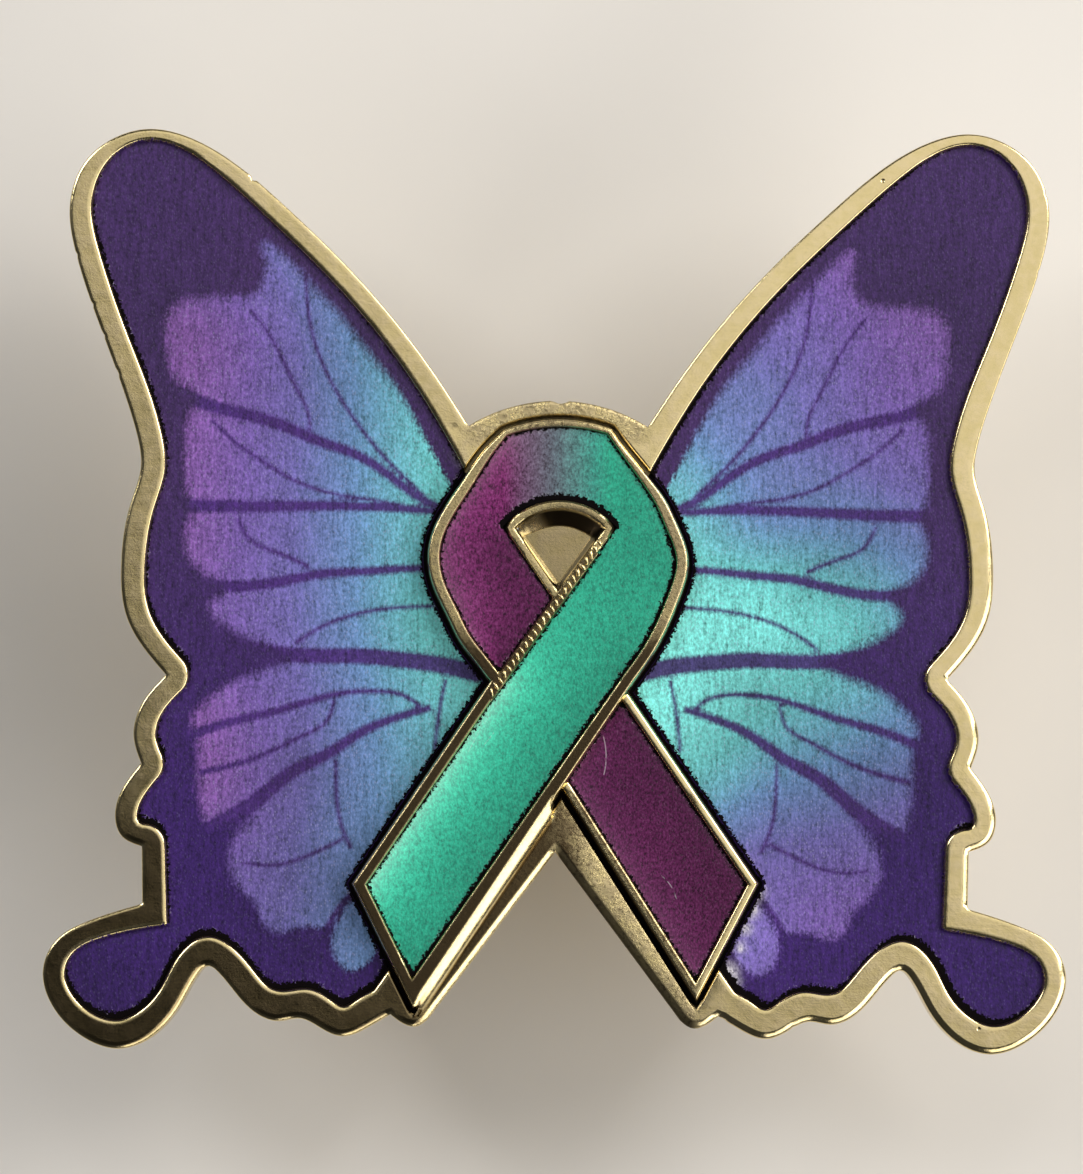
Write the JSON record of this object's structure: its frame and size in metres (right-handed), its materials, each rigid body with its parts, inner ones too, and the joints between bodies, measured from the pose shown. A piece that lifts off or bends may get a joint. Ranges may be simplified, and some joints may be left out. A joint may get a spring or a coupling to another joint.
{
  "type": "awareness ribbon lapel pin",
  "caption": "Flat die-cast lapel pin: an awareness ribbon on a swallowtail butterfly with raised metal rims, colour fields, a post and a round clutch.",
  "frame": {"origin": "on the surface that the clutch's foot rests on, below the middle of the butterfly", "axes": "+X to the design's right, +Y to the top of the wings, +Z out of the pin's face towards the viewer"},
  "size_m": [0.0382, 0.0344, 0.0115],
  "materials": {
    "gold_plate": "bright pale-gold plating over a cast zinc alloy",
    "wing_colour": "fine-grained printed colour in a shallow recess",
    "ribbon_colour": "smooth enamel colour",
    "ribbon_leg_colour": "smooth enamel colour",
    "clutch_metal": "plain gold-plated metal"
  },
  "bodies": {
    "root": {"cast_plate": "gold_plate", "left_wing_fill": "wing_colour", "right_wing_fill": "wing_colour", "ribbon_loop_fill": "ribbon_colour", "ribbon_leg_fill": "ribbon_leg_colour", "clutch": "clutch_metal"}
  },
  "joints": []
}
